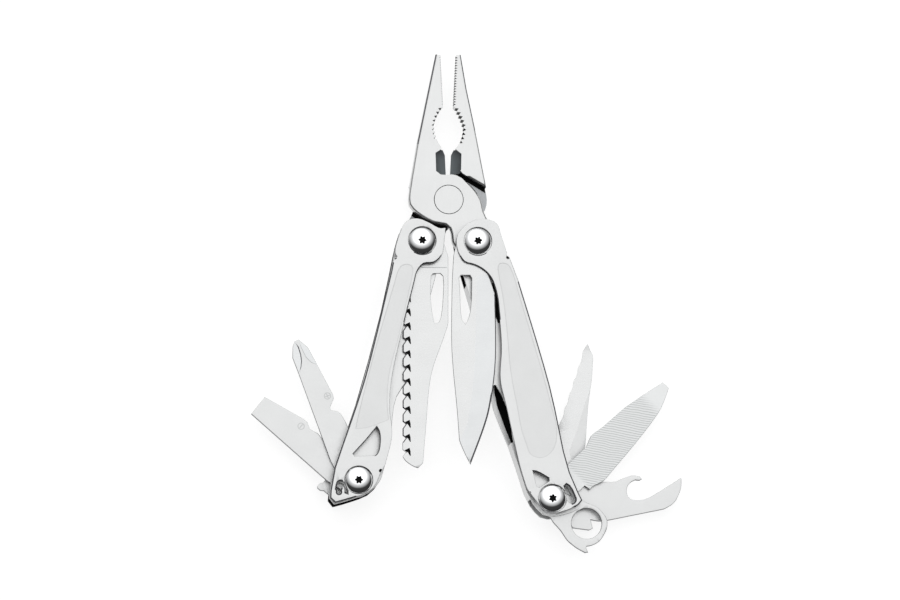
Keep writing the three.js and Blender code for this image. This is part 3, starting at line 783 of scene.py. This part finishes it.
# Painted shade: these lines along the flutes' edges are painted dark and grey.
PHILLIPS_LINE = [
    (-0.8, 48.2), (-0.6, 46.4), (-0.85, 43.9), (-1.4, 41.9), (-2.4, 40.1), (-3.3, 38.9),
    (-2.2, 40.0), (-1.15, 41.8), (-0.55, 43.9), (-0.3, 46.4),
]
PHILLIPS_FAINT_LINE = [
    (0.45, 47.9), (0.45, 45.6), (0.65, 42.4), (1.55, 40.4), (2.8, 38.9),
    (1.4, 40.2), (0.45, 42.3), (0.25, 45.6),
]


def cross_mark(place, x, y, radius, bars):
    """A screw-head mark: a thin ring round one bar, or two crossed bars, painted as the shade in its grooves."""
    shade_marks = [
        (circle(place, x, y, radius), FIRST, True),
        (circle(place, x, y, radius - 0.2), PLAIN, True),
    ]
    reach, half, gap = radius - 0.35, 0.12, 0.16
    shade_marks.append((box(place, x - reach, x + reach, y - half, y + half), FIRST, True))
    if bars == 2:
        shade_marks.append((box(place, x - half, x + half, y + gap, y + reach), FIRST, True))
        shade_marks.append((box(place, x - half, x + half, y - reach, y - gap), FIRST, True))
    return shade_marks


phillips_flutes_and_shade = [
    (PHILLIPS.all(PHILLIPS_LEFT_FLUTE), SECOND, True),
    (PHILLIPS.all(PHILLIPS_RIGHT_FLUTE), SECOND, True),
    (PHILLIPS.all(PHILLIPS_LINE), THIRD, True),
    (PHILLIPS.all(PHILLIPS_FAINT_LINE), FIRST, True),
]
phillips_flutes_and_shade += cross_mark(PHILLIPS, 1.9, 28.6, 1.1, 2)
sheet(
    "phillips_driver", 8.05, 9.75, 0.15, patches=phillips_flutes_and_shade, corner=14,
    extra=("soft_edge_shade", "ground_steel", "dark_edge_shade"),
)
sheet(
    "flat_driver", 5.6, 7.9, 0.15, patches=cross_mark(FLAT, 3.1, 24.8, 1.1, 1), extra=("soft_edge_shade",),
    corner=14,
)
sheet("small_driver", 2.35, 4.4, 0.15)
sheet("lanyard_ring", 8.25, 9.7, 0.25)
sheet("can_opener", 4.05, 5.95, 0.2)


def smooth_step(tree, source, zero_at, one_at):
    """A socket that goes smoothly from 0 to 1 as its source goes from one value to the other."""
    step = tree.nodes.new("ShaderNodeMapRange")
    step.interpolation_type = "SMOOTHSTEP"
    step.inputs["From Min"].default_value = zero_at
    step.inputs["From Max"].default_value = one_at
    tree.links.new(source, step.inputs["Value"])
    return step.outputs["Result"]


def file_steel():
    """Steel cut with fine wavy lines between the shank and the plain tip: the lines are bumps, and the cut part
    and its lines are painted darker as the cuts' shade.
    """
    material = steel("file_steel", (0.6, 0.61, 0.61), 0.36, EVEN, 0.012)
    tree = material.node_tree
    shader = tree.nodes["Principled BSDF"]
    add, link = tree.nodes.new, tree.links.new
    place = add("ShaderNodeTexCoord")
    own = add("ShaderNodeMapping")
    own.vector_type = "TEXTURE"
    own.inputs["Location"].default_value = (FILE.x * MM, FILE.y * MM, 0)
    own.inputs["Rotation"].default_value = (0, 0, FILE.angle)
    link(place.outputs["Object"], own.inputs["Vector"])
    split = add("ShaderNodeSeparateXYZ")
    link(own.outputs["Vector"], split.inputs["Vector"])
    fade = smooth_step(tree, split.outputs["Y"], 46 * MM, 42.5 * MM)
    start = smooth_step(tree, split.outputs["Y"], 11 * MM, 12.5 * MM)
    region = add("ShaderNodeMath")
    region.operation = "MULTIPLY"
    link(fade, region.inputs[0])
    link(start, region.inputs[1])
    tilted = add("ShaderNodeMapping")
    tilted.inputs["Rotation"].default_value = (0, 0, math.radians(-35))
    link(own.outputs["Vector"], tilted.inputs["Vector"])
    wave = add("ShaderNodeTexWave")
    wave.bands_direction = "Y"
    wave.inputs["Scale"].default_value = 430
    wave.inputs["Distortion"].default_value = 5
    wave.inputs["Detail"].default_value = 1.5
    wave.inputs["Detail Scale"].default_value = 0.35
    link(tilted.outputs["Vector"], wave.inputs["Vector"])
    thin = smooth_step(tree, wave.outputs["Fac"], 0.6, 0.95)
    lines = add("ShaderNodeMath")
    lines.operation = "MULTIPLY"
    link(thin, lines.inputs[0])
    link(region.outputs["Value"], lines.inputs[1])
    plain = shader.inputs["Base Color"].links[0].from_socket
    whole = add("ShaderNodeMix")
    whole.data_type = "RGBA"
    whole.inputs["B"].default_value = (0.55, 0.56, 0.56, 1)
    link(region.outputs["Value"], whole.inputs["Factor"])
    link(plain, whole.inputs["A"])
    marked = add("ShaderNodeMix")
    marked.data_type = "RGBA"
    marked.inputs["B"].default_value = (0.38, 0.39, 0.39, 1)
    link(lines.outputs["Value"], marked.inputs["Factor"])
    link(whole.outputs["Result"], marked.inputs["A"])
    link(marked.outputs["Result"], shader.inputs["Base Color"])
    bump = next(node for node in tree.nodes if node.type == "BUMP")
    bump.inputs["Distance"].default_value = 0.03 * MM
    link(lines.outputs["Value"], bump.inputs["Height"])
    bump.invert = True
    return material


FINISH["file_steel"] = file_steel()
metal_file = sheet("metal_file", 6.2, 8.0, 0.15)
metal_file.data.materials[0] = FINISH["file_steel"]


SERRATED_MIDDLE = 2.975
SERRATED_HALF = 0.625
SCALLOPS_START = 20


def serrated_thickness(point):
    """Half the serrated blade's thickness at its outline: thin on the scalloped side."""
    x, y = SERRATED.back(point)
    if y < SCALLOPS_START or x > 0.6:
        return SERRATED_HALF
    return SERRATED_HALF - 0.52 * min(1, (y - SCALLOPS_START) / 4)


SERRATED_GRIND = [(-1.9, 22.2), (0.6, 24.5), (1.3, 32), (1.9, 41), (1.6, 47.6)]
SERRATED_FLAT = [
    (4.5, 40), (4.1, 37.1), (3.5, 32.4), (3.3, 25.2), (2.3, 17.4), (3.5, 15), (12, 15), (12, 40),
]
sheet(
    "serrated_blade", 2.35, 3.6, 0.12,
    high=lambda p: SERRATED_MIDDLE + serrated_thickness(p),
    low=lambda p: SERRATED_MIDDLE - serrated_thickness(p),
    lines=[(SERRATED.all(SERRATED_GRIND), 3.6, 2.35)],
    patches=[(SERRATED.all(SERRATED_FLAT), FIRST, True)], extra=("panel_steel",),
)


# ---------- Handles ----------

PANEL_LEFT = [
    (-5.2, -63.5), (-5.45, -58), (-5.6, -46), (-5.6, -35), (-5.35, -24), (-5.15, -15.3), (-5.0, -11.3),
    (-4.4, -9.6), (-2.9, -8.6), (-1.4, -8.6), (-0.5, -9.4), (-0.1, -12), (0.15, -17), (0.4, -24),
    (0.7, -34), (0.7, -42), (1.5, -48.6), (2.9, -54), (4.3, -57.8), (2.0, -59.6), (-1.5, -62.0),
]
PANEL_RIGHT = [
    (7.2, -65), (7.9, -55), (8.1, -45), (8.0, -30), (7.9, -20), (7.7, -11.3), (7.1, -9.6), (5.6, -8.7),
    (4.5, -8.7), (3.8, -9.4), (3.2, -12.5), (2.6, -18.6), (1.9, -23.5), (0.4, -32), (-1.3, -40.3),
    (-2.2, -47), (-2.8, -54), (-3.5, -61.3), (-3.3, -66), (-2.8, -69.6), (0.5, -71.5), (4.5, -70),
]


def panel(place, outline):
    """A shallow pressed panel: its outline at the plate's surface and a second one just below it."""
    world = smoothed(place.all(outline), corner=60, longest=20, parts=4)
    if area_of(world) < 0:
        world = world[::-1]
    inner = inset(world, [0.28] * len(world))
    return world, inner


# Widths of the painted dark edges on the handle plates, in millimetres.
WIDE_RIM, MIDDLE_RIM, NARROW_RIM = 0.42, 0.3, 0.25


def plate(side_name, place, outline, sign, notches_at, window_foot, slot_foot, screw_at):
    """A handle's front plate and its slot spacer. sign is 1 where the outer side is to the right."""
    outer, inner = panel(place, outline)
    shade_marks = [(circle(place, x, y, 0.6, 12), THIRD, True) for x, y in notches_at]

    def bold(point):
        """The width of the painted dark edge: painted shade on the outer side and high on the inner side, and a
        painted shadow in the window and slot.
        """
        x, y = place.back(point)
        if math.hypot(x, y - screw_at) < 5.2 and abs(x) < 4.6:
            return 0.0
        if (y < -8.6 and x * sign > 5.2) or (sign < 0 and y < -80 - x * 0.7 and x < 5):
            return WIDE_RIM
        if -27 < y < -2.5 and -7.3 < x * sign < 1.8:
            return MIDDLE_RIM
        if abs(x) < 4 and window_foot < y < window_foot + 12:
            return NARROW_RIM
        if 2.2 < x * sign <= 6.9 and slot_foot < y < slot_foot + 3.4:
            return NARROW_RIM
        return 0.0

    # The band between the panel's two outlines is painted darker as the crease's shade, and the notch dots are
    # painted near-black as shade.
    sheet(
        side_name + "_front_plate", 13.9, 15.0, 0.16, bold=bold, corner=50,
        lines=[(outer + outer[:1], 15.0, 13.9), (inner + inner[:1], 14.97, 13.9)],
        patches=[(outer, SECOND, False), (inner, FIRST, False)] + shade_marks,
        extra=("panel_steel", "crease_painted_shade", "black_painted_shade"),
    )
    sheet(side_name + "_slot_spacer", 11.05, 13.85)


plate("left", LEFT, PANEL_LEFT, -1, [(-6.9, -7.6), (5.9, -74.0)], -71.5, -83.7, -78.6)
plate("right", RIGHT, PANEL_RIGHT, 1, [(7.7, -7.5), (-6.6, -81.0)], -78.6, -84.6, -84.6)

CAVITY_FLOOR = 2.1
CAVITY_TOP = 9.9
CHANNEL_TOP = 11.0
# The outline of a painted shadow cut into the right channel's top beside the knife, in millimetres of the handle's
# drawing.
BLADE_SHADE = [(1.9, -13.5), (1.9, -22), (0.2, -26.4), (-0.6, -26.4), (-1.3, -20.4), (-4.5, -14.5)]


def channel_look(side_name, place, inwards, end, shade=None):
    """The folded channel: painted black inside as far as its end, as shade, with a dark line of painted shade
    along its back edge, and where a shade outline is given, a shallow cut in its top painted black as a shadow.
    """
    node_name = side_name + "_channel"
    shape = solid_of(node_name)
    x, y = place.at((0, end))
    along = (-math.sin(place.angle), math.cos(place.angle), 0)
    bmesh.ops.bisect_plane(
        shape, geom=shape.verts[:] + shape.edges[:] + shape.faces[:],
        plane_co=(x * MM, y * MM, 0), plane_no=along,
    )
    round_edges(shape, 0.15)
    mesh = as_mesh(shape, node_name + "_mesh")
    shaded(mesh)
    piece = finished(node_name + "_look", mesh, node_name)
    if shade:
        cut(piece, [(place.all(shade), CHANNEL_TOP - 0.08, CHANNEL_TOP + 0.5)])
        mesh = piece.data
    else:
        mesh.materials.append(FINISH["black_painted_shade"])
    mesh.materials.append(FINISH["dark_edge_shade"])
    painted_inside_shade, painted_back_shade = 1, 2
    for face in mesh.polygons:
        middle = face.center / MM
        x, y = place.back(middle)
        floor = face.normal.z > 0.9 and middle.z < CAVITY_FLOOR + 0.1
        roof = face.normal.z < -0.9 and CAVITY_TOP - 0.1 < middle.z < CAVITY_TOP + 0.1
        wall = CAVITY_FLOOR - 0.1 < middle.z < CAVITY_TOP + 0.1 and -7.4 < x * inwards < 6
        if y > end and (floor or roof or wall):
            face.material_index = painted_inside_shade
        elif middle.z < 1.3 and abs(face.normal.z) < 0.98:
            face.material_index = painted_back_shade
    even_shading(piece)
    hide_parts(node_name)


channel_look("left", LEFT, 1, -90)
channel_look("right", RIGHT, -1, -82.3, BLADE_SHADE)

for node_name in sorted(NODES):
    if NODES[node_name].hide_render:
        continue
    rounded_copy(node_name)

# ---------- Surroundings ----------

def make_floor():
    mesh = bpy.data.meshes.new("floor_mesh")
    size = 3.0
    corners = [(-size, -size, 0), (size, -size, 0), (size, size, 0), (-size, size, 0)]
    mesh.from_pydata(corners, [], [(0, 1, 2, 3)])
    floor = bpy.data.objects.new("floor", mesh)
    bpy.context.collection.objects.link(floor)
    material = bpy.data.materials.new("white_floor")
    material.use_nodes = True
    shader = material.node_tree.nodes["Principled BSDF"]
    shader.inputs["Base Color"].default_value = (0.35, 0.35, 0.35, 1)
    shader.inputs["Emission Color"].default_value = (1, 1, 1, 1)
    shader.inputs["Emission Strength"].default_value = 0.8
    shader.inputs["Roughness"].default_value = 0.9
    shader.inputs["Specular IOR Level"].default_value = 0.1
    mesh.materials.append(material)


def make_sky():
    """Soft white light from above, a little behind the tool, falling to dark near the floor."""
    world = bpy.data.worlds.new("studio")
    bpy.context.scene.world = world
    world.use_nodes = True
    tree = world.node_tree
    background = tree.nodes["Background"]
    direction = tree.nodes.new("ShaderNodeTexCoord")
    towards = tree.nodes.new("ShaderNodeVectorMath")
    towards.operation = "DOT_PRODUCT"
    towards.inputs[1].default_value = Vector((0.0, 0.42, 0.9)).normalized()
    ramp = tree.nodes.new("ShaderNodeValToRGB")
    stops = [(0.0, 0.06), (0.2, 0.02), (0.52, 0.03), (0.72, 0.5), (0.85, 1.0), (1.0, 1.0)]
    ramp.color_ramp.elements[0].position = stops[0][0]
    ramp.color_ramp.elements[0].color = (stops[0][1],) * 3 + (1,)
    ramp.color_ramp.elements[1].position = stops[-1][0]
    ramp.color_ramp.elements[1].color = (stops[-1][1],) * 3 + (1,)
    for position, value in stops[1:-1]:
        ramp.color_ramp.elements.new(position).color = (value,) * 3 + (1,)
    tree.links.new(direction.outputs["Generated"], towards.inputs[0])
    tree.links.new(towards.outputs["Value"], ramp.inputs["Fac"])
    tree.links.new(ramp.outputs["Color"], background.inputs["Color"])
    background.inputs["Strength"].default_value = 1.62


SENSOR = 36
DISTANCE = 1.5
SEEN_WIDTH = 0.2848   # across the view at its middle, in metres
MIDDLE_RIGHT, MIDDLE_UP, MIDDLE_ABOVE = 1.165, -30.41, 10   # the view's middle from the rivet, in mm


def make_camera():
    """A long lens, almost straight above the tool."""
    low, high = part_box("pliers_rivet")
    rivet = Vector(((low.x + high.x) / 2, (low.y + high.y) / 2, 0))
    view = Vector((-0.08004, -0.15007, 0.98543))
    right = Vector((0.99672, 0.0, 0.08095))
    up = view.cross(right)
    target = rivet + right * (MIDDLE_RIGHT * MM) + up * (MIDDLE_UP * MM)
    target += view * (MIDDLE_ABOVE * MM)
    data = bpy.data.cameras.new("camera")
    data.sensor_width = SENSOR
    data.lens = SENSOR * DISTANCE / SEEN_WIDTH
    data.clip_end = 20
    camera = bpy.data.objects.new("camera", data)
    place = target + view * DISTANCE
    camera.matrix_world = Matrix((
        (right.x, up.x, view.x, place.x),
        (right.y, up.y, view.y, place.y),
        (right.z, up.z, view.z, place.z),
        (0, 0, 0, 1),
    ))
    bpy.context.collection.objects.link(camera)
    bpy.context.scene.camera = camera


make_floor()
make_sky()
make_camera()
bpy.context.scene.view_settings.view_transform = "Standard"
